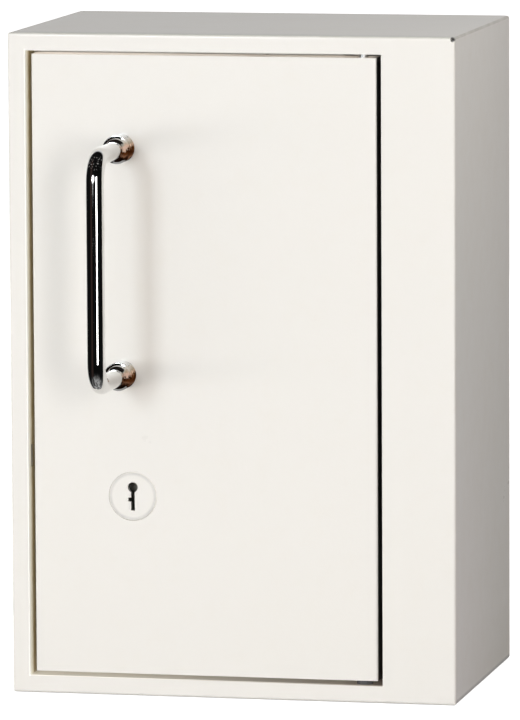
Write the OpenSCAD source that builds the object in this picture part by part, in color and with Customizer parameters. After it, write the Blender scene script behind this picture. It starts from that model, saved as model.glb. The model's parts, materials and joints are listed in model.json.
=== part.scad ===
// Lockable medicine cabinet: folded steel body, flush door on two pivot pins,
// chromed bow handle and a five-lever lock whose bolt throws into the left jamb.
// Origin: centre of the body's footprint, on its underside. +Z up, the door faces -Y.

/* [Body] */
// Overall width of the body
body_w = 300; // [280:1:340]
// Overall height of the body
body_h = 440; // [410:1:480]
// Overall depth of the body, without the handle
body_d = 200; // [195:1:220]
// Thickness of the body sheet
sheet = 2; // [1.6:0.1:2.2]
// Outer bend radius of the two rear vertical edges
rear_r = 4; // [3:0.5:12]
// Outer bend radius of the two front vertical edges
front_r = 1.6; // [1.4:0.1:2]
// Radius of the dressed weld along the horizontal edges
edge_r = 1.8; // [1:0.1:2]
// Depth of the front frame behind the front face
frame_depth = 24; // [24:1:28]

/* [Door opening] */
// Frame width left of the opening
margin_left = 11.7; // [11:0.1:12]
// Frame width right of the opening, the hinge pillar
margin_right = 49; // [46:0.1:54]
// Frame width above the opening
margin_top = 11.7; // [11:0.1:12]
// Frame width below the opening
margin_bottom = 12; // [12:0.1:13]

/* [Door] */
// Gap between the door and the left jamb
gap_left = 4.3; // [4:0.1:4.4]
// Gap between the door and the right jamb
gap_right = 3.2; // [2.8:0.1:3.2]
// Gap above the door
gap_top = 2.3; // [2:0.1:3]
// Gap below the door
gap_bottom = 2.9; // [2.5:0.1:4]
// Thickness of the door leaf
door_t = 20; // [20:0.5:21]
// Thickness of the door's outer sheet
door_sheet = 1.5; // [1.2:0.1:1.5]
// Distance from the door's right edge to the pivot axis
pivot_in = 10; // [10:0.5:11]
// Distance from the front face back to the pivot axis
pivot_back = 7; // [6.5:0.1:7]
// Radius of the pivot pins
pin_r = 3.5; // [3:0.1:3.5]

/* [Handle] */
// Distance between the two legs of the handle
handle_cc = 150; // [128:1:160]
// Radius of the handle bar
handle_r = 6; // [5:0.1:6.5]
// Distance from the door face to the centre of the bar
handle_reach = 72; // [60:1:76]
// Centreline radius of the two bends
handle_bend = 16; // [13:1:22]
// Handle position left of the body's centre
handle_x = -73.8; // [-76:0.1:-70]
// Height of the middle of the handle
handle_z = 289.6; // [280:0.1:295]
// Radius of the round collars
collar_r = 9.4; // [8.6:0.1:10.6]
// Length of the round collars
collar_len = 18; // [14:0.5:20]

/* [Lock] */
// Horizontal position of the key axis
key_x = -67.2; // [-68:0.1:-66]
// Height of the key axis
key_z = 139.6; // [138:0.1:140.5]
// Radius of the keyhole's round end
key_r = 3.4; // [3:0.1:3.6]
// Width of the keyhole's slot
key_slot = 2.6; // [2:0.1:3]
// Length of the keyhole below the key axis
key_drop = 15.5; // [13:0.1:16]
// Radius of the round key plate
plate_r = 16.1; // [15:0.1:17]
// Travel of the lock bolt
bolt_throw = 11.5; // [8:0.5:11.5]
// Number of levers
lever_count = 5; // [3:1:5]
// Swing of the levers from the key's lift down to their stop, in degrees
lever_drop = 4; // [3:0.5:4]

/* [Inside] */
// Height of the lower shelf
shelf_low = 150; // [120:1:180]
// Height of the upper shelf
shelf_high = 290; // [240:1:320]
// Depth of the shelves
shelf_d = 128; // [100:1:130]
// Thickness of the shelf sheet
shelf_t = 1.2; // [1:0.1:1.5]
// Distance between the wall fixing holes, across
wall_cc_x = 220; // [180:1:230]
// Distance between the wall fixing holes, up
wall_cc_z = 320; // [280:1:340]
// Radius of the wall fixing holes
wall_hole_r = 4.25; // [3:0.05:5]

/* [Hidden] */
$fn = 64;
e = 0.01;
x0 = -body_w / 2;
x1 = body_w / 2;
yf = -body_d / 2;
yr = body_d / 2;
// door opening
ox0 = x0 + margin_left;
ox1 = x1 - margin_right;
oz0 = margin_bottom;
oz1 = body_h - margin_top;
yb = yf + frame_depth;
// door leaf
dx0 = ox0 + gap_left;
dx1 = ox1 - gap_right;
dz0 = oz0 + gap_bottom;
dz1 = oz1 - gap_top;
dyr = yf + door_t;
dyi = dyr - 1;            // outer face of the door's inner panel seat
lip = 12;                 // return lip of the door pan
skin_in = yf + door_sheet;
// pivot axis
px = dx1 - pivot_in;
py = yf + pivot_back;
bush_r = pin_r + 1.4;
// handle
hz0 = handle_z - handle_cc / 2;
hz1 = handle_z + handle_cc / 2;
// lock
cy0 = skin_in + 1.5;      // front of the lock case
cy1 = dyi - 3.6;          // rear of the lock case
cx0 = dx0 + door_sheet;
cx1 = key_x + 20.3;
cz0 = key_z - 21.5;
cz1 = key_z + 38;
ct = 1.5;                 // lock case sheet
bz0 = key_z + 11.3;       // bolt, lower edge
bz1 = bz0 + 14;           // bolt head, upper edge
by0 = cy0 + ct + 0.2;
by1 = by0 + 9;
bn0 = by1 - 5.2;          // front of the bolt's nose
tail_t = 2.8;
bx0 = dx0 + 0.3;          // tip of the bolt, withdrawn
post_x = key_x - 22.7;    // bolt guide post
post_z = bz0 + 6;
stump_x = key_x - 33.2;
stump_z = bz0 + 8;
lp_x = key_x + 11.3;      // lever pivot
lp_z = bz0 + 10;
lever_t = 1;
lever_pitch = 1.2;
lever_y0 = by0 + tail_t + 0.2;
plate_z = key_z - 6;    // centre of the key plate

paint = "#EFEDE7";
steel = "#A9ABAD";
chrome = "#D9DCE0";
brass = "#B9975B";
zinc = "#C3C0B4";
black = "#222222";

// ---------- helpers ----------

module box(a, b) {
    translate(a) cube([b[0] - a[0], b[1] - a[1], b[2] - a[2]]);
}

// cylinder along +Y from ya to yb2
module ycyl(x, z, r, ya, yb2) {
    translate([x, ya, z]) rotate([-90, 0, 0]) cylinder(r = r, h = yb2 - ya);
}

// plan outline of the body, moved in by i
module plan2d(i) {
    rr = rear_r - i;
    fr = max(front_r - i, 0.2);
    translate([x0 + i + rr, yf + i + fr]) square([body_w - 2 * i - 2 * rr, body_d - 2 * i - fr]);
    translate([x0 + i, yf + i + fr]) square([body_w - 2 * i, body_d - 2 * i - fr - rr]);
    translate([x0 + i + fr, yf + i]) square([body_w - 2 * i - 2 * fr, fr + 1]);
    for (s = [-1, 1]) {
        translate([s * (x1 - i - rr), yr - i - rr]) circle(r = rr);
        translate([s * (x1 - i - fr), yf + i + fr]) circle(r = fr);
    }
}

// rectangle with four round corners, lower left at a
module round2d(a, s, r) {
    translate([a[0] + r, a[1]]) square([s[0] - 2 * r, s[1]]);
    translate([a[0], a[1] + r]) square([s[0], s[1] - 2 * r]);
    for (u = [a[0] + r, a[0] + s[0] - r], v = [a[1] + r, a[1] + s[1] - r])
        translate([u, v]) circle(r = r);
}

// bar through the whole width with the side outline (depth by height), edges rounded
module side_bar() {
    translate([x0 - 1, 0, 0]) rotate([90, 0, 90]) linear_extrude(body_w + 2)
        round2d([yf, 0], [body_d, body_h], edge_r);
}

// bar through the whole depth with the front outline (width by height), edges rounded
module front_bar() {
    translate([0, yr + 1, 0]) rotate([90, 0, 0]) linear_extrude(body_d + 2)
        round2d([x0, 0], [body_w, body_h], edge_r);
}

module outer_solid() {
    intersection() {
        linear_extrude(body_h) plan2d(0);
        side_bar();
        front_bar();
    }
}

// keyhole outline centred on the key axis: round end, slot and one ward notch
module keyhole2d(grow) {
    circle(r = key_r + grow);
    translate([-key_slot / 2 - grow, -key_drop - grow]) square([key_slot + 2 * grow, key_drop + grow]);
    translate([-key_slot / 2 - 1.8 - grow, -9.6 - grow]) square([2, 2.8 + 2 * grow]);
}

module keyhole(ya, yb2, grow = 0) {
    translate([key_x, yb2, key_z]) rotate([90, 0, 0]) linear_extrude(yb2 - ya) keyhole2d(grow);
}

// ---------- body ----------

// front face with its folded outer edges and the four jambs of the opening
module front_frame() color(paint) difference() {
    union() {
        difference() {
            intersection() {
                outer_solid();
                box([x0 - 1, yf - 1, -1], [x1 + 1, yb, body_h + 1]);
            }
            box([x0 + sheet, yf + sheet, sheet], [x1 - sheet, yb + 1, body_h - sheet]);
        }
        difference() {
            box([ox0 - sheet, yf + 0.5, oz0 - sheet], [ox1 + sheet, yb, oz1 + sheet]);
            box([ox0, yf - 1, oz0], [ox1, yb + 1, oz1]);
        }
    }
    box([ox0, yf - 1, oz0], [ox1, yf + 5, oz1]);
    // slot for the bolt in the left jamb
    box([ox0 - sheet - 1, bn0 - 0.4, bz0 - 0.4], [ox0 + 1, by1 + 0.4, bz1 + 0.4]);
    // holes for the pivot bushes
    for (z = [oz0 - sheet - 1, oz1 - 1])
        translate([px, py, z]) cylinder(r = bush_r + 0.02, h = sheet + 2);
    // relief hole at the upper right fold corner
    translate([x1 - 1.7, yf - 1, body_h - 1.5]) rotate([-90, 0, 0]) cylinder(r = 1.2, h = 4, $fn = 24);
}

// one sheet folded round both sides and the back, with the four wall holes
module side_and_back_wrap() color(paint) difference() {
    translate([0, 0, sheet]) linear_extrude(body_h - 2 * sheet) difference() {
        plan2d(0);
        plan2d(sheet);
        translate([x0 - 1, yf - 1]) square([body_w + 2, frame_depth + 1]);
    }
    for (s = [-1, 1], t = [-1, 1])
        ycyl(s * wall_cc_x / 2, body_h / 2 + t * wall_cc_z / 2, wall_hole_r, yr - sheet - 1, yr + 1);
}

// section of the cap's rounded rim, from the bend centre outward
module rim2d() intersection() {
    square([rear_r, sheet]);
    union() {
        square([rear_r - edge_r, sheet]);
        square([rear_r, sheet - edge_r]);
        translate([rear_r - edge_r, sheet - edge_r]) circle(r = edge_r);
    }
}

// flat cap with a rounded rim, at the top of the body
module cap() {
    cx = x1 - rear_r;
    cy = yr - rear_r;
    cz = body_h - sheet;
    box([-cx, yb, cz], [cx, cy, body_h]);
    translate([-cx, cy, cz]) rotate([90, 0, 90]) linear_extrude(2 * cx) rim2d();
    for (s = [0, 1]) mirror([s, 0, 0]) translate([cx, cy, cz]) {
        rotate([90, 0, 0]) linear_extrude(cy - yb) rim2d();
        rotate_extrude(angle = 90) rim2d();
    }
}

module top_panel() color(paint) cap();

module bottom_panel() color(paint) translate([0, 0, body_h]) mirror([0, 0, 1]) cap();

// folded channel that closes the hinge pillar off from the inside
module hinge_pillar_channel() color(paint)
    translate([0, 0, sheet]) linear_extrude(body_h - 2 * sheet) difference() {
        union() {
            translate([ox1, yb]) square([x1 - sheet - ox1, 26]);
            translate([ox1 + 3, yb + 26]) square([x1 - sheet - ox1 - 3, 3]);
            translate([ox1 + 3, yb + 26]) circle(r = 3);
        }
        translate([ox1 + 1.5, yb - 1]) square([body_w, 27]);
        translate([ox1 + 3, yb]) square([body_w, 27.5]);
        translate([ox1 + 3, yb + 26]) circle(r = 1.5);
    }

// flat strip behind the left, upper and lower jambs that the door closes on
module door_stop_frame() color(paint) difference() {
    box([ox0 - 5.5, yb, oz0 - 6], [px - 16, yb + 1.5, oz1 + 6]);
    box([ox0 + 12.5, yb - 1, oz0 + 12], [px, yb + 3, oz1 - 12]);
}

// four rubber pads on the stop strip
module door_buffers() color(black) {
    for (z = [oz0 + 80, oz1 - 80]) ycyl(ox0 + 7.5, z, 4.5, dyr + 0.35, yb);
    for (z = [oz0 + 7, oz1 - 7]) ycyl(20, z, 4.5, dyr + 0.35, yb);
}

// pressed box behind the bolt slot
module strike_box() color(steel) difference() {
    box([x0 + sheet, yf + sheet, bz0 - 5], [ox0 - sheet, by1 + 4, bz1 + 5]);
    box([x0 + sheet + 1.2, by0 - 0.8, bz0 - 1.5], [ox0, by1 + 1.2, bz1 + 1.5]);
}

module bracket(z0, z1) difference() {
    box([px - 15, yf + sheet, z0], [ox1 + sheet, yb - 2, z1]);
    translate([px, py, z0 - 1]) cylinder(r = bush_r + 0.02, h = z1 - z0 + 2);
}

module hinge_bracket_top() color(steel) bracket(oz1 + sheet, body_h - sheet - 2);

module hinge_bracket_bottom() color(steel) bracket(sheet + 2, oz0 - sheet);

// plain bush from z, running len up or down
module bush(z, len) difference() {
    translate([px, py, min(z, z + len)]) cylinder(r = bush_r, h = abs(len));
    translate([px, py, min(z, z + len) - 2]) cylinder(r = pin_r + 0.05, h = abs(len) + 4);
}

module hinge_bush_top() color(brass) bush(oz1, body_h - sheet - 2 - oz1);

module hinge_bush_bottom() color(brass) bush(oz0, sheet + 2 - oz0);

module thrust_washer() color(black) difference() {
    translate([px, py, oz0]) cylinder(r = bush_r + 0.5, h = gap_bottom - 0.05);
    translate([px, py, oz0 - 1]) cylinder(r = pin_r + 0.05, h = gap_bottom + 2);
}

// slotted strips that carry the shelf clips
strip_y = [yr - 26, yr - 118];
module shelf_strips() color(paint) for (s = [-1, 1], y = strip_y) difference() {
    box([s > 0 ? x1 - sheet - 1.2 : x0 + sheet, y - 6, 40],
        [s > 0 ? x1 - sheet : x0 + sheet + 1.2, y + 6, body_h - 40]);
    for (i = [0 : 8]) translate([s * (x1 - sheet - 0.6), y, 70 + i * 40 ])
        cube([2, 5, 10], center = true);
}

// bent clips hooked into the strips under each shelf
module shelf_clips() color(zinc) for (s = [-1, 1], y = strip_y, z = [shelf_low, shelf_high]) {
    translate([s > 0 ? x1 - sheet - 1.2 - 10 : x0 + sheet + 1.2, y - 4, z - 1.5]) cube([10, 8, 1.5]);
    translate([s > 0 ? x1 - sheet - 1.2 - 1.5 : x0 + sheet + 1.2, y - 4, z - 12]) cube([1.5, 8, 10.6]);
}

// shelf tray: lip down at the front, lip up at the back
module shelf(z) {
    w = body_w / 2 - sheet - 2;
    y0 = yr - sheet - shelf_d - 7;
    y1 = yr - sheet - 7;
    box([-w, y0, z], [w, y1, z + shelf_t]);
    box([-w, y0, z - 12], [w, y0 + shelf_t, z + e]);
    box([-w, y1 - shelf_t, z], [w, y1, z + 9]);
}

module shelf_upper() color(paint) shelf(shelf_high);

module shelf_lower() color(paint) shelf(shelf_low);

// ---------- door ----------

// outer pan: front, four flanges and their return lips
module door_pan() color(paint) difference() {
    translate([0, 0, dz0]) linear_extrude(dz1 - dz0) {
        translate([dx0, yf + 1.5]) square([dx1 - dx0, dyi - yf - 1.5]);
        translate([dx0 + 1.5, yf]) square([dx1 - dx0 - 3, 2]);
        for (x = [dx0 + 1.5, dx1 - 1.5]) translate([x, yf + 1.5]) circle(r = 1.5);
    }
    box([dx0 + door_sheet, skin_in, dz0 + door_sheet],
        [dx1 - door_sheet, dyi - door_sheet, dz1 - door_sheet]);
    box([dx0 + lip, dyi - door_sheet - 1, dz0 + lip], [dx1 - lip, dyi + 1, dz1 - lip]);
    // round window for the key plate
    ycyl(key_x, plate_z, plate_r + 0.25, yf - 1, skin_in + 1);
    // handle screw holes
    for (z = [hz0, hz1]) ycyl(handle_x, z, 2.7, yf - 1, skin_in + 1);
    // bolt slot in the left flange
    box([dx0 - 1, bn0 - 0.2, bz0 - 0.2], [dx0 + door_sheet + 1, by1 + 0.2, bz1 + 0.2]);
    // pivot pin holes
    for (z = [dz0 - 1, dz1 - door_sheet - 1]) translate([px, py, z]) cylinder(r = pin_r + 0.02, h = door_sheet + 2);
    // holes for the inner panel's screws
    for (p = panel_screw_points) ycyl(p[0], p[1], 1.7, dyi - door_sheet - 1, dyi + 1);
}

panel_screw_points = [
    [dx0 + 7, dz0 + 50], [dx0 + 7, (dz0 + dz1) / 2], [dx0 + 7, dz1 - 50],
    [dx1 - 7, dz0 + 50], [dx1 - 7, (dz0 + dz1) / 2], [dx1 - 7, dz1 - 50],
    [-60, dz0 + 6.5], [-60, dz1 - 6.5], [45, dz0 + 6.5], [45, dz1 - 6.5]];

module door_inner_panel() color(paint) difference() {
    box([dx0 + 1.2, dyi, dz0 + 1.2], [dx1 - 1.2, dyr, dz1 - 1.2]);
    for (p = panel_screw_points) ycyl(p[0], p[1], 1.9, dyi - 1, dyr + 1);
}

module inner_panel_screws() color(zinc) for (p = panel_screw_points) difference() {
    union() {
        ycyl(p[0], p[1], 1.65, dyi - door_sheet - 1.5, dyr + e);
        ycyl(p[0], p[1], 3.4, dyr, dyr + 1.3);
    }
    for (a = [0, 90]) translate([p[0], dyr + 1.1, p[1]]) rotate([0, a, 0]) cube([3.8, 1, 0.8], center = true);
}

// hat-shaped stiffener bonded to the inside of the pan
module door_stiffener() color(steel) translate([0, 0, dz0 + 20]) linear_extrude(dz1 - dz0 - 40) {
    translate([12, skin_in]) square([36, 1.2]);
    for (x = [12, 46.8]) translate([x, skin_in]) square([1.2, dyi - skin_in]);
    translate([2, dyi - 1.2]) square([11.2, 1.2]);
    translate([46.8, dyi - 1.2]) square([11.2, 1.2]);
}

module hinge_block(z0, z1) difference() {
    box([px - 11, skin_in, z0], [dx1 - door_sheet, py + 6, z1]);
    translate([px, py, z0 - 1]) cylinder(r = pin_r + 0.02, h = z1 - z0 + 2);
}

module hinge_block_top() color(steel) hinge_block(dz1 - door_sheet - 22, dz1 - door_sheet);

module hinge_block_bottom() color(steel) hinge_block(dz0 + door_sheet, dz0 + door_sheet + 22);

module pin(z0, z1) {
    translate([px, py, z0]) cylinder(r1 = pin_r - 1, r2 = pin_r, h = 1);
    translate([px, py, z0 + 1]) cylinder(r = pin_r, h = z1 - z0 - 2);
    translate([px, py, z1 - 1]) cylinder(r1 = pin_r, r2 = pin_r - 1, h = 1);
}

module hinge_pin_top() color(steel) pin(dz1 - 26, body_h - sheet - 3);

module hinge_pin_bottom() color(steel) pin(sheet + 3, dz0 + 26);

// bow handle: two legs, two bends and the grip, tapped at both ends
module handle_bar() color(chrome) difference() {
    union() {
        for (s = [0, 1]) {
            z = s ? hz1 : hz0;
            ycyl(handle_x, z, handle_r, yf - handle_reach + handle_bend, yf);
            translate([handle_x, yf - handle_reach + handle_bend, z + (s ? -1 : 1) * handle_bend])
                rotate([0, -90, 0]) rotate([0, 0, s ? 270 : 180])
                    rotate_extrude(angle = 90) translate([handle_bend, 0]) circle(r = handle_r, $fn = 48);
        }
        translate([handle_x, yf - handle_reach, hz0 + handle_bend])
            cylinder(r = handle_r, h = handle_cc - 2 * handle_bend);
    }
    for (z = [hz0, hz1]) ycyl(handle_x, z, 2.15, yf - 18, yf + 1);
}

// round collar: drum with a flat face, then a slender cone that runs in to the leg
module collar(z) translate([handle_x, yf, z]) rotate([90, 0, 0]) difference() {
    rotate_extrude() {
        square([collar_r, collar_len - 5.9]);
        square([collar_r - 0.4, collar_len - 5.5]);
        translate([collar_r - 0.4, collar_len - 5.9]) circle(r = 0.4, $fn = 32);
        polygon([[0, 0], [handle_r + 2.2, 0], [handle_r + 2.2, collar_len - 5.5],
            [handle_r + 0.35, collar_len], [0, collar_len]]);
    }
    translate([0, 0, -1]) cylinder(r = handle_r + 0.05, h = collar_len + 2);
}

module handle_collar_top() color(chrome) collar(hz1);

module handle_collar_bottom() color(chrome) collar(hz0);

module handle_washers() color(zinc) for (z = [hz0, hz1]) difference() {
    ycyl(handle_x, z, 6, skin_in, skin_in + 1);
    ycyl(handle_x, z, 2.3, skin_in - 1, skin_in + 2);
}

module handle_screws() color(zinc) for (z = [hz0, hz1]) difference() {
    union() {
        ycyl(handle_x, z, 2.1, yf - 15, skin_in + 1.5);
        ycyl(handle_x, z, 4.2, skin_in + 1, skin_in + 4);
    }
    for (a = [0, 90]) translate([handle_x, skin_in + 3.6, z]) rotate([0, a, 0]) cube([5, 1.6, 0.9], center = true);
}

// ---------- lock ----------

// painted round plate in the door's window, with the keyhole
module key_plate() color(paint) difference() {
    union() {
        ycyl(key_x, plate_z, plate_r, yf + 0.4, skin_in);
        translate([key_x, yf, plate_z]) rotate([-90, 0, 0]) cylinder(r1 = plate_r - 0.4, r2 = plate_r, h = 0.4);
        ycyl(key_x, plate_z, plate_r - 1, skin_in - 0.1, skin_in + 0.2);
    }
    keyhole(yf - 1, skin_in + 1);
}

// hardened plate between the key plate and the lock case
module hard_plate() color(steel) difference() {
    box([key_x - 11, skin_in + 0.2, key_z - 20], [key_x + 9, cy0, key_z + 8]);
    keyhole(skin_in - 1, cy0 + 1, 0.3);
}

module lock_case() color(zinc) difference() {
    box([cx0, cy0, cz0], [cx1, cy1 - ct, cz1]);
    box([cx0 + ct, cy0 + ct, cz0 + ct], [cx1 - ct, cy1, cz1 - ct]);
    box([cx0 - 1, bn0 - 0.2, bz0 - 0.2], [cx0 + ct + 1, by1 + 0.2, bz1 + 0.2]);
    keyhole(cy0 - 1, cy0 + ct + 1, 0.3);
    for (p = lock_screw_points) ycyl(p[0], p[1], 1.8, cy0 - 1, cy0 + ct + 1);
    ycyl(post_x, post_z, 1.5, cy0 - 1, cy0 + ct + 1);
    ycyl(lp_x, lp_z, 1.5, cy0 - 1, cy0 + ct + 1);
}

lock_screw_points = [[cx0 + 6, cz0 + 6], [cx0 + 6, cz1 - 6], [cx1 - 6, cz0 + 6], [cx1 - 6, cz1 - 6]];

module lock_cover() color(zinc) difference() {
    box([cx0, cy1 - ct, cz0], [cx1, cy1, cz1]);
    for (p = lock_screw_points) ycyl(p[0], p[1], 2.05, cy1 - ct - 1, cy1 + 1);
}

module lock_screws() color(steel) for (p = lock_screw_points) {
    ycyl(p[0], p[1], 1.75, skin_in, cy1 + 0.5);
    ycyl(p[0], p[1], 3.2, cy1, cy1 + 1.4);
}

module bolt_guide_post() color(steel) {
    ycyl(post_x, post_z, 1.45, cy0, cy0 + ct);
    ycyl(post_x, post_z, 2.5, cy0 + ct, by0 + tail_t + 0.1);
}

module lever_pivot_post() color(steel) {
    ycyl(lp_x, lp_z, 1.45, cy0, cy0 + ct);
    ycyl(lp_x, lp_z, 3, cy0 + ct, cy1 - ct);
}

// the levers come down on this post
lever_low = stump_z - 7;
stop_x = post_x + 6;
module lever_stop_post() color(steel)
    ycyl(stop_x, lever_low - (lp_x - stop_x) * sin(lever_drop) - 1.75, 1.5, cy0 + ct, cy1 - ct);

// bolt: head, tail with guide slot, talon for the key and the stump
module lock_bolt() color(brass) difference() {
    union() {
        box([bx0, bn0, bz0], [bx0 + 17, by1, bz1]);
        box([bx0 + 14.7, by0, bz0], [bx0 + 17, by1, bz0 + 12]);
        box([bx0 + 14.7, by0, bz0], [key_x + 5, by0 + tail_t, bz0 + 12]);
        box([stump_x - 1.5, by0 + 1, stump_z - 1.5], [stump_x + 1.5, lever_y0 + lever_pitch * (lever_count - 1) + lever_t + 0.2, stump_z + 1.5]);
    }
    // guide slot
    ycyl(post_x, post_z, 2.55, by0 - 1, by0 + tail_t + 1);
    ycyl(post_x + bolt_throw, post_z, 2.55, by0 - 1, by0 + tail_t + 1);
    box([post_x, by0 - 1, post_z - 2.55], [post_x + bolt_throw, by0 + tail_t + 1, post_z + 2.55]);
    // talon
    translate([key_x, by0 - 1, bz0 - 1]) rotate([-90, 0, 0]) cylinder(r = 5, h = tail_t + 2);
}

// one lever: plate with a pocket at each end of its gate
module lever2d() difference() {
    union() {
        translate([lp_x, lp_z]) circle(r = 6);
        translate([stump_x - bolt_throw - 4, lever_low]) square([lp_x - stump_x + bolt_throw + 4, stump_z + 9 - lever_low]);
    }
    translate([lp_x, lp_z]) circle(r = 3.05);
    // gate
    translate([stump_x - bolt_throw, stump_z - 1.9]) square([bolt_throw, 3.8]);
    // pockets above the gate's level, the stump's place when the lever is down
    for (x = [stump_x - bolt_throw, stump_x])
        translate([x - 2.1, stump_z - 1.9]) square([4.2, 7.9]);
    // belly that the key runs under
    translate([key_x, lever_low - 9]) circle(r = 11.5);
}

module levers() color(brass) for (i = [0 : lever_count - 1])
    translate([0, lever_y0 + i * lever_pitch + lever_t, 0]) rotate([90, 0, 0]) linear_extrude(lever_t) lever2d();

// one flat spring above each lever, bearing on the top of the case
module lever_springs() color(steel) for (i = [0 : lever_count - 1])
    translate([0, lever_y0 + i * lever_pitch + lever_t - 0.1, 0]) rotate([90, 0, 0]) linear_extrude(lever_t - 0.2)
        polygon([[key_x - 2, stump_z + 9], [key_x - 8, stump_z + 12.4], [key_x - 18, cz1 - ct - 0.3],
            [key_x - 30, cz1 - ct - 1.2], [key_x - 30, cz1 - ct - 1.6], [key_x - 18, cz1 - ct - 0.7],
            [key_x - 8.2, stump_z + 12], [key_x - 3.2, stump_z + 9]]);

// ---------- output ----------
front_frame();
side_and_back_wrap();
top_panel();
bottom_panel();
hinge_pillar_channel();
door_stop_frame();
door_buffers();
strike_box();
hinge_bracket_top();
hinge_bracket_bottom();
hinge_bush_top();
hinge_bush_bottom();
thrust_washer();
shelf_strips();
shelf_clips();
shelf_upper();
shelf_lower();
door_pan();
door_inner_panel();
door_stiffener();
hinge_block_top();
hinge_block_bottom();
hinge_pin_top();
hinge_pin_bottom();
inner_panel_screws();
handle_bar();
handle_collar_top();
handle_collar_bottom();
handle_screws();
handle_washers();
key_plate();
hard_plate();
lock_case();
lock_cover();
lock_screws();
bolt_guide_post();
lever_pivot_post();
lever_stop_post();
lock_bolt();
levers();
lever_springs();
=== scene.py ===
import json
import math

import bpy
from mathutils import Matrix, Vector

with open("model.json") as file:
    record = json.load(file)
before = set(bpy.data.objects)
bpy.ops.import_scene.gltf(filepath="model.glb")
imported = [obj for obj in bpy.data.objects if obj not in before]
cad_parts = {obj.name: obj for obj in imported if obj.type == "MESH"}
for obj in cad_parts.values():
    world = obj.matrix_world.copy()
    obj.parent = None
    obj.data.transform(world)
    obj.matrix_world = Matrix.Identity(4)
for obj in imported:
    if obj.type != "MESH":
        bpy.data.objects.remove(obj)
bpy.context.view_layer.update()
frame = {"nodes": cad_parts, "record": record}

nodes = frame["nodes"]
scene = bpy.context.scene

# ------------------------------------------------------------------ camera
YAW, PITCH, ROLL = math.radians(12.4057), math.radians(6.9906), math.radians(-0.2862)


def camera_axes(yaw, pitch, roll):
    f = Vector((-math.sin(yaw), math.cos(yaw), 0.0))
    r = Vector((math.cos(yaw), math.sin(yaw), 0.0))
    u = Vector((0.0, 0.0, 1.0))
    f2 = f * math.cos(pitch) - u * math.sin(pitch)
    u2 = u * math.cos(pitch) + f * math.sin(pitch)
    r3 = r * math.cos(roll) + u2 * math.sin(roll)
    u3 = -r * math.sin(roll) + u2 * math.cos(roll)
    return r3, u3, f2


cam_data = bpy.data.cameras.new("camera")
cam_data.sensor_fit = "AUTO"
cam_data.sensor_width = 36.0
cam_data.lens = 7081.47 * 36.0 / 720.0
cam_data.clip_start = 0.05
cam_data.clip_end = 60.0
cam = bpy.data.objects.new("camera", cam_data)
scene.collection.objects.link(cam)
rx, ux, fx = camera_axes(YAW, PITCH, ROLL)
cam.matrix_world = Matrix((
    (rx.x, ux.x, -fx.x, 1.011627),
    (rx.y, ux.y, -fx.y, -4.610936),
    (rx.z, ux.z, -fx.z, 0.792629),
    (0, 0, 0, 1)))
scene.camera = cam

# ------------------------------------------------------------------ shading
scene.view_settings.view_transform = "Standard"
scene.view_settings.look = "None"
scene.view_settings.exposure = 0.0
scene.view_settings.gamma = 1.0


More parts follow.
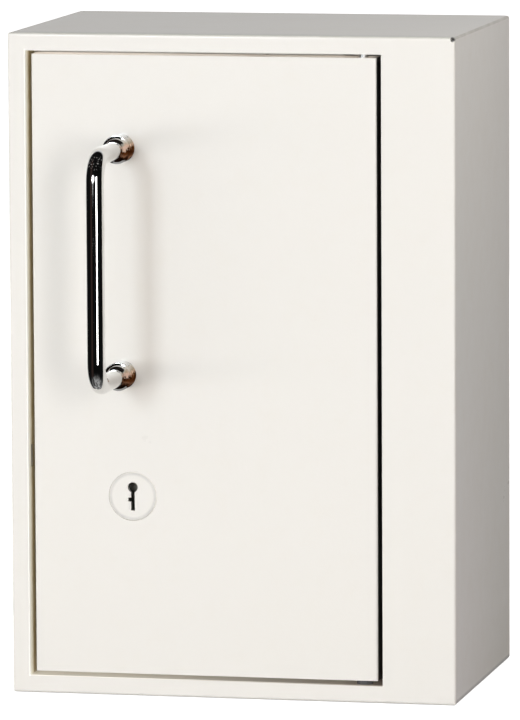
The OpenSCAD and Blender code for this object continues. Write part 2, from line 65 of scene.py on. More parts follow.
class Tree:
    """Small helper that wires a node tree."""

    def __init__(self, name):
        self.mat = bpy.data.materials.new(name)
        self.mat.use_nodes = True
        self.t = self.mat.node_tree
        self.t.nodes.clear()
        self.out = self.new("ShaderNodeOutputMaterial")
        self.coord = self.new("ShaderNodeTexCoord")

    def new(self, kind, **props):
        n = self.t.nodes.new(kind)
        for k, v in props.items():
            setattr(n, k, v)
        return n

    def link(self, a, b):
        self.t.links.new(a, b)

    def mapped(self, scale=(1, 1, 1), rot=(0, 0, 0), loc=(0, 0, 0)):
        m = self.new("ShaderNodeMapping")
        m.inputs["Scale"].default_value = scale
        m.inputs["Rotation"].default_value = rot
        m.inputs["Location"].default_value = loc
        self.link(self.coord.outputs["Object"], m.inputs["Vector"])
        return m.outputs["Vector"]

    def noise(self, scale, detail=3.0, rough=0.5, vec=None, distortion=0.0):
        n = self.new("ShaderNodeTexNoise")
        n.inputs["Scale"].default_value = scale
        n.inputs["Detail"].default_value = detail
        n.inputs["Roughness"].default_value = rough
        n.inputs["Distortion"].default_value = distortion
        self.link(vec if vec is not None else self.coord.outputs["Object"], n.inputs["Vector"])
        return n.outputs["Fac"]

    def ramp(self, fac, stops):
        r = self.new("ShaderNodeValToRGB")
        e = r.color_ramp.elements
        while len(e) < len(stops):
            e.new(0.5)
        for el, (p, c) in zip(e, stops):
            el.position = p
            el.color = c if len(c) == 4 else (*c, 1.0)
        self.link(fac, r.inputs["Fac"])
        return r.outputs["Color"]

    def span(self, fac, lo, hi, a=0.0, b=1.0, clamp=True):
        m = self.new("ShaderNodeMapRange", clamp=clamp)
        m.inputs["From Min"].default_value = lo
        m.inputs["From Max"].default_value = hi
        m.inputs["To Min"].default_value = a
        m.inputs["To Max"].default_value = b
        self.link(fac, m.inputs["Value"])
        return m.outputs["Result"]

    def math(self, op, a, b=None, c=None, clamp=False):
        m = self.new("ShaderNodeMath", operation=op, use_clamp=clamp)
        for i, v in enumerate((a, b, c)):
            if v is None:
                continue
            if isinstance(v, (int, float)):
                m.inputs[i].default_value = v
            else:
                self.link(v, m.inputs[i])
        return m.outputs[0]

    def mix(self, fac, a, b, blend="MIX"):
        m = self.new("ShaderNodeMix", data_type="RGBA", blend_type=blend)
        for sock, v in ((m.inputs["Factor"], fac), (m.inputs["A"], a), (m.inputs["B"], b)):
            if isinstance(v, (int, float)):
                sock.default_value = v
            elif isinstance(v, tuple):
                sock.default_value = v if len(v) == 4 else (*v, 1.0)
            else:
                self.link(v, sock)
        return m.outputs["Result"]

    def xyz(self):
        s = self.new("ShaderNodeSeparateXYZ")
        self.link(self.coord.outputs["Object"], s.inputs[0])
        return s.outputs

    def bump(self, height, strength, distance, normal=None):
        b = self.new("ShaderNodeBump")
        b.inputs["Strength"].default_value = strength
        b.inputs["Distance"].default_value = distance
        self.link(height, b.inputs["Height"])
        if normal is not None:
            self.link(normal, b.inputs["Normal"])
        return b.outputs["Normal"]

    def principled(self, **sockets):
        p = self.new("ShaderNodeBsdfPrincipled")
        for k, v in sockets.items():
            name = k.replace("_", " ")
            if isinstance(v, (int, float)):
                p.inputs[name].default_value = v
            elif isinstance(v, tuple):
                p.inputs[name].default_value = v if len(v) == 4 else (*v, 1.0)
            else:
                self.link(v, p.inputs[name])
        self.link(p.outputs["BSDF"], self.out.inputs["Surface"])
        return self.mat


def sphere_mask(t, centre, r0, r1):
    """1 inside r0 of centre, 0 outside r1, in metres."""
    d = t.new("ShaderNodeVectorMath", operation="DISTANCE")
    t.link(t.coord.outputs["Object"], d.inputs[0])
    d.inputs[1].default_value = centre
    return t.span(d.outputs["Value"], r0, r1, 1.0, 0.0)


def enamel(name, tone=(0.862, 0.836, 0.790), soil_and_painted_light=None):
    """Stoved off-white enamel: a slight orange peel, faint sheet ripple, dust nibs, plus the rubbed and soiled patches,
    painted shade and painted light (emission) that the given marking function adds.
    """
    t = Tree(name)
    broad = t.noise(7.0, 3, 0.55)
    fine = t.noise(60.0, 4, 0.6)
    speck = t.noise(420.0, 2, 0.5)
    warm = tuple(c * k for c, k in zip(tone, (0.985, 0.972, 0.945)))
    cool = tuple(min(1.0, c * k) for c, k in zip(tone, (1.004, 1.006, 1.012)))
    col = t.mix(t.span(broad, 0.35, 0.7), cool, tone)
    col = t.mix(t.math("MULTIPLY", t.span(fine, 0.5, 0.8), 0.35), col, warm)
    # pin-head dust nibs in the coat
    nib = t.span(speck, 0.74, 0.8)
    col = t.mix(t.math("MULTIPLY", nib, 0.22), col, tuple(c * 0.8 for c in tone))
    rough = t.math("ADD", t.span(broad, 0.3, 0.7, 0.27, 0.34), t.span(fine, 0.35, 0.75, 0.0, 0.06))
    glow = None
    # the marking function returns colour with real wear and painted shade, and an emission glow of painted light
    if soil_and_painted_light is not None:
        col, glow = soil_and_painted_light(t, col)
    peel = t.noise(520.0, 2, 0.5)
    wave = t.noise(11.0, 1, 0.4)
    n1 = t.bump(wave, 0.25, 0.0012)
    n2 = t.bump(peel, 0.16, 0.00025, n1)
    more = {} if glow is None else {"Emission_Color": glow, "Emission_Strength": 1.0}
    return t.principled(Base_Color=col, Roughness=rough, Normal=n2, Specular_IOR_Level=0.4,
                        Coat_Weight=0.45, Coat_Roughness=0.09, **more)


def near(t, value, centre, half, soft):
    """1 where value is within half of centre, fading over soft."""
    return t.span(t.math("ABSOLUTE", t.math("SUBTRACT", value, centre)), half, half + soft, 1.0, 0.0)


def body_wear_and_painted_light(t, col):
    """Painted light and shade in the jambs, painted shade along the bends, low on the right side and as a contact
    shadow at its foot, a painted dark dot for the relief hole; real rubbing, scrapes, rust and weld marks on the back.
    """
    s = t.xyz()
    x, y, z = s["X"], s["Y"], s["Z"]
    grain = t.noise(90.0, 4, 0.6)
    # right side: painted shade, darker and browner to the rear and the bottom, with a little grain
    side = t.span(x, 0.1482, 0.1496)
    rear = t.span(y, -0.1, 0.1)
    side_painted_shade = t.math("MULTIPLY", rear, t.span(z, 0.44, 0.04, 0.0, 0.82))
    side_painted_shade = t.math("ADD", side_painted_shade, t.span(grain, 0.35, 0.65, 0.0, 0.12))
    col = t.mix(t.math("MULTIPLY", side, side_painted_shade, clamp=True), col, (0.73, 0.665, 0.575))
    # painted shade: darker still close to the floor at the rear of the right side
    low_rear_painted_shade = t.math("MULTIPLY", t.math("MULTIPLY", side, rear), t.span(z, 0.045, 0.004, 0.0, 0.65))
    col = t.mix(low_rear_painted_shade, col, (0.58, 0.505, 0.40))
    # painted contact shadow: dark line along the foot of the right side
    foot = t.math("MULTIPLY", t.span(x, 0.1440, 0.1460), t.span(z, 0.0040, 0.0018))
    foot = t.math("MULTIPLY", foot, t.span(y, -0.0986, -0.0976))
    col = t.mix(t.math("MULTIPLY", foot, t.span(grain, 0.3, 0.7, 0.75, 1.0)), col, (0.20, 0.18, 0.155))
    # painted shade: dark line along the bend between top and right side
    edge = t.math("MULTIPLY", near(t, x, 0.1500, 0.0011, 0.0006), near(t, z, 0.4400, 0.0012, 0.0006))
    col = t.mix(t.math("MULTIPLY", edge, t.span(grain, 0.3, 0.7, 0.45, 0.9)), col, (0.44, 0.41, 0.36))
    # painted shade: greenish dark band along the front rim of the top
    rim = t.math("MULTIPLY", t.span(z, 0.4386, 0.4396), t.span(y, -0.083, -0.0985))
    col = t.mix(t.math("MULTIPLY", rim, t.span(grain, 0.3, 0.7, 0.35, 0.7)), col, (0.58, 0.59, 0.53))
    # back: rubbed by the wall, rust freckles round the screw holes, spot-weld marks along both hems
    back = t.span(y, 0.0980, 0.0990)
    rub = t.noise(16.0, 5, 0.65, vec=t.mapped(scale=(1.0, 1.0, 0.4)))
    col = t.mix(t.math("MULTIPLY", back, t.span(rub, 0.48, 0.72, 0.0, 0.45)), col, (0.66, 0.63, 0.58))
    scrape = t.noise(240.0, 3, 0.6, vec=t.mapped(scale=(0.05, 1.0, 1.0), rot=(0.0, 0.25, 0.0)))
    col = t.mix(t.math("MULTIPLY", back, t.span(scrape, 0.62, 0.70, 0.0, 0.40)), col, (0.50, 0.48, 0.45))
    hx = t.math("SUBTRACT", t.math("ABSOLUTE", x), 0.110)
    hz = t.math("SUBTRACT", t.math("ABSOLUTE", t.math("SUBTRACT", z, 0.220)), 0.160)
    hd = t.math("SQRT", t.math("ADD", t.math("MULTIPLY", hx, hx), t.math("MULTIPLY", hz, hz)))
    rust = t.math("MULTIPLY", t.span(hd, 0.0095, 0.0048), t.span(t.noise(310.0, 3, 0.6), 0.44, 0.58))
    col = t.mix(t.math("MULTIPLY", back, t.math("MULTIPLY", rust, 0.75)), col, (0.27, 0.135, 0.060))
    wx = t.math("PINGPONG", t.math("ADD", x, 0.015), 0.015)
    wz = t.math("SUBTRACT", t.math("ABSOLUTE", t.math("SUBTRACT", z, 0.220)), 0.213)
    wd = t.math("SQRT", t.math("ADD", t.math("MULTIPLY", wx, wx), t.math("MULTIPLY", wz, wz)))
    col = t.mix(t.math("MULTIPLY", back, t.math("MULTIPLY", near(t, wd, 0.0019, 0.0003, 0.0004), 0.55)), col, (0.42, 0.40, 0.37))
    # painted shade: a dark dot standing in for the relief hole at the corner
    hole = sphere_mask(t, (0.1483, -0.0985, 0.4385), 0.0015, 0.0020)
    col = t.mix(hole, col, (0.03, 0.03, 0.028))
    # left jamb: painted light and shade, an emission glow pale at the front and colour darkening to olive further in
    jamb = t.math("MULTIPLY", near(t, x, -0.1383, 0.0003, 0.0004), t.span(y, -0.1003, -0.0999))
    jamb = t.math("MULTIPLY", jamb, near(t, z, 0.2200, 0.2087, 0.0004))
    jamb = t.math("MULTIPLY", jamb, t.span(y, -0.0756, -0.0762))
    depth = t.math("ADD", y, t.span(grain, 0.3, 0.7, -0.0007, 0.0007))
    col = t.mix(t.math("MULTIPLY", jamb, t.span(depth, -0.0915, -0.0885)), col, (0.33, 0.25, 0.14))
    light = t.ramp(t.span(depth, -0.1, -0.084), [
        (0.0, (0.40, 0.41, 0.39)), (0.25, (0.27, 0.27, 0.23)), (0.41, (0.17, 0.15, 0.09)),
        (0.58, (0.10, 0.07, 0.02)), (0.73, (0.08, 0.055, 0.015)), (0.90, (0.03, 0.022, 0.006)), (1.0, (0.03, 0.022, 0.006))])
    # painted light: a faint emission glow makes the right side a little paler and pinker low down at the front
    side_painted_glow = t.math("MULTIPLY", t.math("MULTIPLY", side, t.span(y, 0.06, -0.10)), t.span(z, 0.26, 0.06))
    glow = t.mix(side_painted_glow, (0.0, 0.0, 0.0), (0.042, 0.028, 0.030))
    glow = t.mix(jamb, glow, light)
    # bottom jamb: painted light, an emission glow paler at the left, and painted shade darkening it towards the right
    sill = t.math("MULTIPLY", near(t, z, 0.0120, 0.0003, 0.0004), t.span(y, -0.0768, -0.0778))
    sill = t.math("MULTIPLY", sill, near(t, x, -0.01865, 0.1193, 0.0004))
    pale = t.ramp(t.span(x, -0.134, 0.098), [
        (0.0, (0.20, 0.185, 0.15)), (0.28, (0.150, 0.138, 0.112)), (0.67, (0.100, 0.092, 0.078)), (0.93, (0.100, 0.088, 0.070)), (1.0, (0.045, 0.036, 0.030))])
    glow = t.mix(sill, glow, pale)
    col = t.mix(t.math("MULTIPLY", sill, t.span(x, -0.06, 0.09)), col, (0.28, 0.235, 0.19))
    return col, glow


def door_painted_light_and_shade(t, col):
    """Painted shade and painted light: the hinge-side flange painted near black, an emission glow on the upper flange.
    """
    s = t.xyz()
    x, y, z = s["X"], s["Y"], s["Z"]
    grain = t.noise(90.0, 4, 0.6)
    # painted shade: the hinge-side flange painted near black, where the gap beside it lies in shade
    hinge = t.math("MULTIPLY", t.span(x, 0.0973, 0.0976), t.span(y, -0.0990, -0.0982))
    col = t.mix(hinge, col, (0.008, 0.006, 0.004))
    # painted light: an emission glow along the upper flange, paler to the left
    top = t.math("MULTIPLY", t.span(z, 0.4254, 0.4258), t.span(y, -0.0992, -0.0984))
    top = t.math("MULTIPLY", top, t.span(y, -0.0803, -0.0812))
    top = t.math("MULTIPLY", top, t.span(x, 0.0965, 0.094))
    glow = t.mix(t.math("MULTIPLY", top, t.span(grain, 0.3, 0.7, 0.85, 1.0)), (0.0, 0.0, 0.0), t.ramp(t.span(x, -0.134, 0.098), [
        (0.0, (0.48, 0.435, 0.39)), (0.28, (0.44, 0.395, 0.355)), (0.67, (0.265, 0.230, 0.200)), (0.92, (0.30, 0.265, 0.23))]))
    return col, glow


def chrome(name, cx, legs):
    """Bright chromium over nickel with finger smears and hairline polishing marks, a painted dark reflection where each
    leg enters its collar and painted glowing specks at the upper bend.
    """
    t = Tree(name)
    smear = t.noise(38.0, 4, 0.6, distortion=0.6)
    hair = t.noise(900.0, 2, 0.5, vec=t.mapped(scale=(1.0, 1.0, 0.06)))
    rough = t.math("ADD", t.span(smear, 0.45, 0.8, 0.03, 0.11), t.span(hair, 0.5, 0.9, 0.0, 0.03))
    col = t.ramp(smear, [(0.3, (0.80, 0.80, 0.80)), (0.7, (0.72, 0.715, 0.70))])
    # painted reflection: fine dark line where each leg enters its collar, on the upper side
    s = t.xyz()
    for cz in legs:
        ang = t.math("MULTIPLY", t.math("ARCTAN2", t.math("SUBTRACT", s["Z"], cz), t.math("SUBTRACT", s["X"], cx)), 180.0 / math.pi)
        ring = t.math("MULTIPLY", near(t, s["Y"], -0.1189, 0.0005, 0.0004), near(t, ang, 90.0, 50.0, 15.0))
        ring = t.math("MULTIPLY", ring, near(t, s["Z"], cz, 0.012, 0.001))
        col = t.mix(ring, col, (0.02, 0.018, 0.017))
    # painted highlights: pin-head specks that glow where the grip bends into the upper leg
    pin = t.span(t.noise(1100.0, 1, 0.5), 0.62, 0.70)
    high = t.math("MULTIPLY", t.span(s["Z"], 0.3555, 0.3600), t.span(s["Z"], 0.3690, 0.3670))
    high = t.math("MULTIPLY", high, t.span(s["Y"], -0.1680, -0.1700))
    painted_glow_specks = t.mix(t.math("MULTIPLY", pin, high), (0.0, 0.0, 0.0), (0.30, 0.29, 0.28))
    nrm = t.bump(hair, 0.04, 0.00004)
    return t.principled(Base_Color=col, Metallic=1.0, Roughness=rough, Normal=nrm,
                        Emission_Color=painted_glow_specks, Emission_Strength=1.0)


def collar_chrome(name, cx, cz, seed):
    """Chromium collar whose right side carries a painted warm brown reflection, with painted dark and bright
    reflections on its cone and one painted glint.
    """
    t = Tree(name)
    s = t.xyz()
    dx = t.math("SUBTRACT", s["X"], cx)
    dz = t.math("SUBTRACT", s["Z"], cz)
    ang = t.math("MULTIPLY", t.math("ARCTAN2", dz, dx), 180.0 / math.pi)
    vec = t.mapped(loc=(seed, seed * 0.7, 0.0))
    patch = t.noise(260.0, 2, 0.55, vec=vec)
    ang = t.math("ADD", ang, t.span(patch, 0.3, 0.7, -9.0, 9.0))
    front_cone = t.span(s["Y"], -0.1122, -0.1130)
    # painted reflection over the right-hand sector: from straight down to the upper right
    sector = t.math("MULTIPLY", t.span(ang, -62.0, -50.0), t.span(ang, 60.0, 34.0))
    shade = t.ramp(t.span(ang, -62.0, 60.0), [
        (0.0, (0.006, 0.002, 0.001)), (0.14, (0.03, 0.008, 0.002)), (0.26, (0.34, 0.17, 0.10)),
        (0.36, (0.13, 0.040, 0.012)), (0.47, (0.090, 0.026, 0.006)), (0.57, (0.19, 0.078, 0.032)),
        (0.65, (0.66, 0.45, 0.33)), (0.73, (0.46, 0.38, 0.29)), (0.84, (0.64, 0.58, 0.50)), (1.0, (0.72, 0.69, 0.63))])
    dark = t.mix(t.span(patch, 0.44, 0.54), (0.026, 0.006, 0.001), shade)
    shade = t.mix(t.math("MULTIPLY", t.span(ang, 20.0, 4.0), 0.75), shade, dark)
    smear = t.noise(38.0, 4, 0.6)
    base = t.ramp(smear, [(0.3, (0.80, 0.80, 0.80)), (0.7, (0.72, 0.715, 0.70))])
    # the cone: painted reflections, a pinkish gleam to the right, black underneath
    gleam = t.math("MULTIPLY", t.math("MULTIPLY", front_cone, near(t, ang, 14.0, 14.0, 8.0)), t.span(patch, 0.40, 0.50))
    shade = t.mix(gleam, shade, (0.78, 0.56, 0.45))
    under = t.math("MULTIPLY", front_cone, near(t, ang, -75.0, 26.0, 8.0))
    shade = t.mix(under, shade, (0.010, 0.004, 0.002))
    sector = t.math("MAXIMUM", sector, under)
    # painted reflection: dark line round the upper half of the cone where the leg comes out
    inner = t.math("MULTIPLY", t.span(s["Y"], -0.1146, -0.1154), near(t, ang, 87.0, 42.0, 12.0))
    shade = t.mix(inner, shade, (0.016, 0.013, 0.012))
    sector = t.math("MAXIMUM", sector, inner)
    # one small painted glint near the rim
    glint = sphere_mask(t, (cx + 0.0088, -0.1085, cz + 0.0030), 0.0006, 0.0014)
    shade = t.mix(glint, shade, (0.95, 0.74, 0.56))
    col = t.mix(sector, base, shade)
    met = t.span(sector, 0.0, 0.6, 1.0, 0.0)
    rough = t.math("ADD", t.span(smear, 0.45, 0.8, 0.03, 0.10), t.math("MULTIPLY", sector, 0.3))
    return t.principled(Base_Color=col, Metallic=met, Roughness=rough, Specular_IOR_Level=0.0)


def metal(name, tone, rough=(0.28, 0.42), grain=(1.0, 1.0, 14.0), stain=(0.55, 0.5, 0.42), stain_amount=0.35, bump=0.12):
    """Drawn or plated metal with a brushed grain and dull stains."""
    t = Tree(name)
    brushed = t.noise(160.0, 5, 0.65, vec=t.mapped(scale=grain))
    cloud = t.noise(45.0, 4, 0.6)
    col = t.mix(t.span(brushed, 0.3, 0.7), tuple(c * 0.86 for c in tone), tone)
    col = t.mix(t.math("MULTIPLY", t.span(cloud, 0.52, 0.74), stain_amount), col, tuple(c * s for c, s in zip(tone, stain)))
    r = t.math("ADD", t.span(brushed, 0.3, 0.7, rough[0], rough[1]), t.span(cloud, 0.5, 0.8, 0.0, 0.12))
    nrm = t.bump(brushed, bump, 0.0001)
    return t.principled(Base_Color=col, Metallic=1.0, Roughness=r, Normal=nrm)


def rubber(name, lift=1.0):
    t = Tree(name)
    a = t.noise(300.0, 3, 0.6)
    b = t.noise(40.0, 3, 0.6)
    col = t.ramp(b, [(0.35, (0.016 * lift, 0.016 * lift, 0.017 * lift)), (0.75, (0.045 * lift, 0.043 * lift, 0.04 * lift))])
    r = t.span(a, 0.3, 0.7, 0.62, 0.82)
    return t.principled(Base_Color=col, Roughness=r, Normal=t.bump(a, 0.3, 0.0002))


HANDLE_X, HANDLE_LOW, HANDLE_HIGH = -0.0738, 0.2146, 0.3646
M = {
    "enamel_paint": enamel("enamel_body", soil_and_painted_light=body_wear_and_painted_light),
    "handle_chrome": chrome("chrome", HANDLE_X, (HANDLE_LOW, HANDLE_HIGH)),
    "bare_steel": metal("drawn_steel", (0.56, 0.565, 0.57)),
    "lock_brass": metal("brass", (0.72, 0.53, 0.25), rough=(0.24, 0.36), stain=(0.6, 0.5, 0.4)),
    "zinc_plate": metal("zinc", (0.66, 0.65, 0.60), rough=(0.26, 0.38), grain=(1, 1, 1), stain=(0.8, 0.8, 0.7)),
    "buffer_rubber": rubber("rubber"),
    "washer_plastic": rubber("black_acetal", 4.0),
}
slot_of = {s["node"]: s["material_slot"] for s in frame["record"]["subparts"]}
for name, obj in nodes.items():
    mat = M[slot_of[name]]
    for i in range(max(1, len(obj.material_slots))):
        if len(obj.material_slots) == 0:
            obj.data.materials.append(mat)
        else:
            obj.material_slots[i].material = mat

door_paint = enamel("enamel_door", soil_and_painted_light=door_painted_light_and_shade)
for name in ("door_pan", "door_inner_panel"):
    nodes[name].material_slots[0].material = door_paint


def plate_wear_and_painted_light(t, col):
    """Grey ring round the rim of the key plate, painted shade standing for its groove; real scratches by the slot; a
    painted glow on the plate's edge.
    """
    s = t.xyz()
    flat = t.new("ShaderNodeCombineXYZ")
    t.link(s["X"], flat.inputs["X"])
    t.link(s["Z"], flat.inputs["Z"])
    d = t.new("ShaderNodeVectorMath", operation="DISTANCE")
    t.link(flat.outputs[0], d.inputs[0])
    d.inputs[1].default_value = (-0.0672, 0.0, 0.1336)
    grain = t.noise(120.0, 3, 0.55)
    # painted shade: grey ring just inside the plate's edge
    ring = t.ramp(t.span(d.outputs["Value"], 0.0134, 0.0162), [(0.0, (0, 0, 0)), (0.30, (0.5, 0.5, 0.5)), (0.55, (1, 1, 1)), (0.85, (0.8, 0.8, 0.8)), (1.0, (0.3, 0.3, 0.3))])
    col = t.mix(t.math("MULTIPLY", ring, t.span(grain, 0.3, 0.7, 0.45, 0.8)), col, (0.60, 0.585, 0.56))
    scratch = t.noise(1500.0, 2, 0.5, vec=t.mapped(scale=(1.0, 1.0, 0.07), rot=(0.0, 0.5, 0.0)))
    worn = t.math("MULTIPLY", t.span(d.outputs["Value"], 0.012, 0.004), t.span(scratch, 0.66, 0.74, 0.0, 0.35))
    col = t.mix(worn, col, (0.45, 0.44, 0.42))
    # painted light: an emission glow on the plate's edge
    lip = t.span(d.outputs["Value"], 0.0157, 0.0160)
    return col, t.mix(lip, (0.0, 0.0, 0.0), (0.26, 0.25, 0.235))


def shelf_soil(t, col):
    """Grey rings left by bottles and hairline scrapes along the shelf."""
    cells = t.new("ShaderNodeTexVoronoi", feature="F1")
    cells.inputs["Scale"].default_value = 22.0
    cells.inputs["Randomness"].default_value = 0.85
    t.link(t.coord.outputs["Object"], cells.inputs["Vector"])
    grain = t.noise(70.0, 4, 0.6)
    ring = near(t, cells.outputs["Distance"], 0.34, 0.010, 0.014)
    ring = t.math("MULTIPLY", ring, t.span(grain, 0.42, 0.66, 0.0, 0.45))
    col = t.mix(ring, col, (0.50, 0.47, 0.42))
    scrape = t.noise(300.0, 3, 0.6, vec=t.mapped(scale=(1.0, 0.05, 1.0), rot=(0.0, 0.0, 0.12)))
    col = t.mix(t.span(scrape, 0.63, 0.70, 0.0, 0.35), col, (0.55, 0.53, 0.50))
    return col, None


def inner_soil(t, col):
    """Inside of the door: finger grime towards the free edge, scuffs."""
    s = t.xyz()
    x, y, z = s["X"], s["Y"], s["Z"]
    grain = t.noise(55.0, 5, 0.6)
    grime = t.math("MULTIPLY", t.span(x, -0.085, -0.126), t.span(grain, 0.40, 0.70, 0.0, 0.50))
    col = t.mix(grime, col, (0.56, 0.50, 0.41))
    scuff = t.noise(120.0, 4, 0.6, vec=t.mapped(scale=(1.0, 1.0, 0.12), rot=(0.0, 0.35, 0.0)))
    col = t.mix(t.span(scuff, 0.62, 0.74, 0.0, 0.24), col, (0.60, 0.58, 0.55))
    return col, None


shelf_paint = enamel("enamel_shelf", soil_and_painted_light=shelf_soil)
for name in ("shelf_upper", "shelf_lower"):
    nodes[name].material_slots[0].material = shelf_paint
nodes["door_inner_panel"].material_slots[0].material = enamel("enamel_door_inside", soil_and_painted_light=inner_soil)
nodes["key_plate"].material_slots[0].material = enamel("enamel_plate", soil_and_painted_light=plate_wear_and_painted_light)
for name, z, seed in (("handle_collar_top", HANDLE_HIGH, 0.031), ("handle_collar_bottom", HANDLE_LOW, 0.117)):
    nodes[name].material_slots[0].material = collar_chrome(name + "_chrome", HANDLE_X, z, seed)

for name in ("handle_collar_top", "handle_collar_bottom"):
    nodes[name].visible_shadow = False

# ------------------------------------------------------------------ rounded edges
def soften(name, width, segments=3, angle=45.0):
    """Weld the tessellated solid and round its sharp edges by a small radius."""
    ob = nodes[name]
    w = ob.modifiers.new("weld", "WELD")
    w.merge_threshold = 1e-6
    b = ob.modifiers.new("bevel", "BEVEL")
    b.width = width
    b.segments = segments
    b.limit_method = "ANGLE"
    b.angle_limit = math.radians(angle)
    b.use_clamp_overlap = True
    b.harden_normals = False


for name, width in (("door_pan", 0.0009), ("door_inner_panel", 0.0003), ("shelf_upper", 0.0004), ("shelf_lower", 0.0004)):
    soften(name, width)
# the bar's bends get one continuous set of normals, so that the mirror has no seam
weld = nodes["handle_bar"].modifiers.new("weld", "WELD")
weld.merge_threshold = 1e-6
split = nodes["handle_bar"].modifiers.new("ends", "EDGE_SPLIT")
split.split_angle = math.radians(50.0)
split.use_edge_sharp = False
even = nodes["handle_bar"].modifiers.new("even_normals", "WEIGHTED_NORMAL")
even.mode = "CORNER_ANGLE"
even.weight = 50
even.keep_sharp = False

# ------------------------------------------------------------------ stage and light
def grid(name, x0, x1, y0, y1, z, n=24):
    verts = [(x0 + (x1 - x0) * i / n, y0 + (y1 - y0) * j / n, z) for j in range(n + 1) for i in range(n + 1)]
    faces = [(j * (n + 1) + i, j * (n + 1) + i + 1, (j + 1) * (n + 1) + i + 1, (j + 1) * (n + 1) + i) for j in range(n) for i in range(n)]
    me = bpy.data.meshes.new(name)
    me.from_pydata(verts, [], faces)
    ob = bpy.data.objects.new(name, me)
    scene.collection.objects.link(ob)
    return ob


floor = grid("studio_floor", -9, 9, -9, 9, -0.0006)
ft = Tree("floor_paper")
fn = ft.noise(3.0, 3, 0.5)
fcol = ft.ramp(fn, [(0.3, (0.93, 0.93, 0.925)), (0.7, (0.95, 0.95, 0.945))])
ft.principled(Base_Color=fcol, Roughness=0.9, Normal=ft.bump(ft.noise(700, 2), 0.05, 0.0002),
              Emission_Color=(0.95, 0.95, 0.95), Emission_Strength=1.0)
floor.data.materials.append(ft.mat)
floor.visible_glossy = False
floor.visible_diffuse = False

world = bpy.data.worlds.new("studio")
scene.world = world
world.use_nodes = True
wt = world.node_tree
wt.nodes.clear()


def wnode(kind, **props):
    n = wt.nodes.new(kind)
    for k, v in props.items():
        setattr(n, k, v)
    return n


def wramp(src, stops, lo=-1.0, hi=1.0):
    m = wnode("ShaderNodeMapRange")
    m.inputs["From Min"].default_value = lo
    m.inputs["From Max"].default_value = hi
    wt.links.new(src, m.inputs["Value"])
    r = wnode("ShaderNodeValToRGB")
    e = r.color_ramp.elements
    while len(e) < len(stops):
        e.new(0.5)
    for el, (q, c) in zip(e, stops):
        el.position = q
        el.color = (*c, 1.0) if isinstance(c, tuple) else (c, c, c, 1.0)
    wt.links.new(m.outputs["Result"], r.inputs["Fac"])
    return r.outputs["Color"]


def wmix(fac, a, b, blend="MIX"):
    m = wnode("ShaderNodeMix", data_type="RGBA", blend_type=blend)
    for sock, v in ((m.inputs["Factor"], fac), (m.inputs["A"], a), (m.inputs["B"], b)):
        if isinstance(v, (int, float)):
            sock.default_value = v
        elif isinstance(v, tuple):
            sock.default_value = (*v, 1.0)
        else:
            wt.links.new(v, sock)
    return m.outputs["Result"]


tc = wnode("ShaderNodeTexCoord")
sp = wnode("ShaderNodeSeparateXYZ")
wt.links.new(tc.outputs["Generated"], sp.inputs[0])
lp = wnode("ShaderNodeLightPath")
# soft room light for the paint: strongest from the front, dim from the right and behind
soft = wmix(1.0, wramp(sp.outputs["Z"], [(0.0, 0.16), (0.45, 0.18), (0.55, 0.26), (1.0, 0.30)]),
            wramp(sp.outputs["Y"], [(0.0, 0.90), (0.35, 0.72), (0.625, 0.22), (1.0, 0.20)]), "MULTIPLY")
soft = wmix(1.0, soft, wramp(sp.outputs["X"], [(0.0, 1.0), (0.5, 0.87), (0.675, (0.36, 0.345, 0.33)), (1.0, (0.22, 0.207, 0.19))]), "MULTIPLY")
soft = wmix(1.0, soft, (1.0, 0.965, 0.93), "MULTIPLY")
soft_gain = wnode("ShaderNodeVectorMath", operation="SCALE")
wt.links.new(soft, soft_gain.inputs[0])
soft_gain.inputs["Scale"].default_value = 2.5 * 1.15
soft = soft_gain.outputs["Vector"]
# what the bright metal mirrors: a dark room in front, the pale backdrop behind and
# overhead, a scatter of grey paper underneath
room = wramp(sp.outputs["Y"], [(0.0, 0.004), (0.74, 0.006), (0.80, 0.80), (0.92, 0.80), (1.0, 0.42)])
wn = wnode("ShaderNodeTexNoise")
wn.inputs["Scale"].default_value = 5.0
wn.inputs["Detail"].default_value = 3.0
wt.links.new(tc.outputs["Generated"], wn.inputs["Vector"])
low = wmix(1.0, wramp(sp.outputs["Z"], [(0.0, 0.55), (0.07, 0.34), (0.15, 0.05), (0.22, 0.0)]),
           wramp(wn.outputs["Fac"], [(0.40, 0.15), (0.60, 1.0)], 0.0, 1.0), "MULTIPLY")
room = wmix(1.0, room, low, "LIGHTEN")
shelf_glow = wmix(1.0, wramp(sp.outputs["X"], [(0.0, 0.0), (0.10, 0.0), (0.16, (0.034, 0.022, 0.019)), (0.26, (0.034, 0.022, 0.019)), (0.33, 0.0)]),
                  wramp(sp.outputs["Y"], [(0.0, 1.0), (0.45, 1.0), (0.55, 0.0)]), "MULTIPLY")
room = wmix(1.0, room, shelf_glow, "LIGHTEN")
# a second, smaller window that the bar mirrors high on its left half
spot = wnode("ShaderNodeVectorMath", operation="DISTANCE")
wt.links.new(tc.outputs["Generated"], spot.inputs[0])
spot.inputs[1].default_value = (-0.23, -0.957, 0.177)
room = wmix(1.0, room, wramp(spot.outputs["Value"], [(0.0, 3.0), (0.68, 3.0), (0.80, 0.0)], 0.0, 0.3), "LIGHTEN")
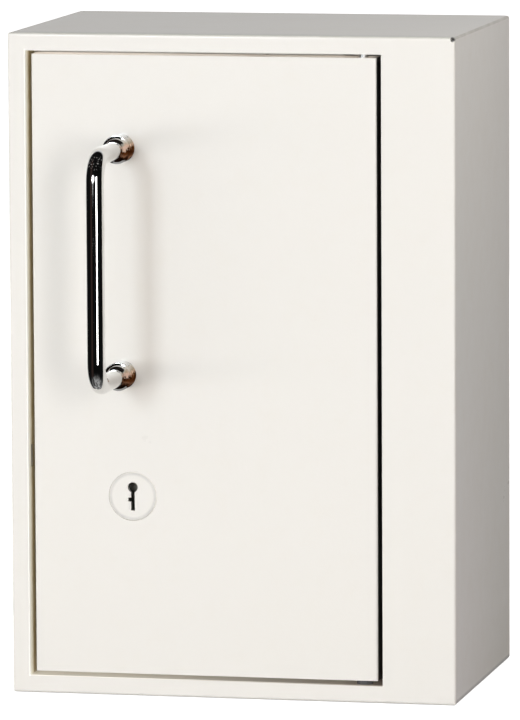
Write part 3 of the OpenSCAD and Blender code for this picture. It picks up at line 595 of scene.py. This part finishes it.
# and a dimmer one beside it, towards the long window
spot = wnode("ShaderNodeVectorMath", operation="DISTANCE")
wt.links.new(tc.outputs["Generated"], spot.inputs[0])
spot.inputs[1].default_value = (0.10, -0.98, 0.185)
room = wmix(1.0, room, wramp(spot.outputs["Value"], [(0.0, 0.62), (0.45, 0.62), (0.58, 0.0)], 0.0, 0.3), "LIGHTEN")
col = wmix(lp.outputs["Is Glossy Ray"], soft, room)
col = wmix(lp.outputs["Is Camera Ray"], col, (1.0, 1.0, 1.0))
bg = wnode("ShaderNodeBackground")
wt.links.new(col, bg.inputs["Color"])
bg.inputs["Strength"].default_value = 1.0
wo = wnode("ShaderNodeOutputWorld")
wt.links.new(bg.outputs[0], wo.inputs["Surface"])


def softbox(name, loc, target, size, power, tone=(1, 1, 1), glossy=True, spread=180.0):
    ld = bpy.data.lights.new(name, "AREA")
    ld.shape = "RECTANGLE"
    ld.size, ld.size_y = size
    ld.energy = power
    ld.color = tone
    ld.spread = math.radians(spread)
    lo = bpy.data.objects.new(name, ld)
    scene.collection.objects.link(lo)
    d = Vector(target) - Vector(loc)
    lo.location = loc
    lo.rotation_euler = d.to_track_quat("-Z", "Y").to_euler()
    lo.visible_glossy = glossy
    lo.visible_camera = False
    return lo


softbox("key_right", (1.09, -2.05, 0.43), (-0.07, -0.10, 0.30), (0.44, 1.15), 16.3, (1.01, 0.985, 0.965))
softbox("key_left", (-0.80, -3.04, 0.91), (-0.07, -0.10, 0.29), (0.47, 0.75), 19.2, (0.90, 1.01, 1.09))
softbox("fill_low", (-0.75, -1.17, 0.15), (-0.02, -0.10, 0.10), (1.9, 0.28), 6.1, (1.0, 0.97, 0.94), glossy=False)
softbox("fill_foot", (0.05, -0.64, 0.08), (0.0, -0.10, 0.02), (1.2, 0.14), 0.33, glossy=False)
softbox("fill_side", (0.62, -0.16, 0.74), (0.15, -0.05, 0.38), (0.30, 0.3), 1.5, (1.0, 0.96, 0.92), glossy=False)
softbox("fill_top", (0.0, 0.25, 2.2), (0, 0, 0.4), (1.4, 1.4), 1.1, (1.0, 0.95, 0.84), glossy=False)
softbox("fill_back", (0.0, 2.2, 0.9), (0, 0.1, 0.2), (1.6, 1.4), 12.0, glossy=False)
softbox("fill_left", (-1.8, 0.3, 0.8), (-0.15, 0, 0.2), (1.2, 1.2), 6.0, glossy=False)
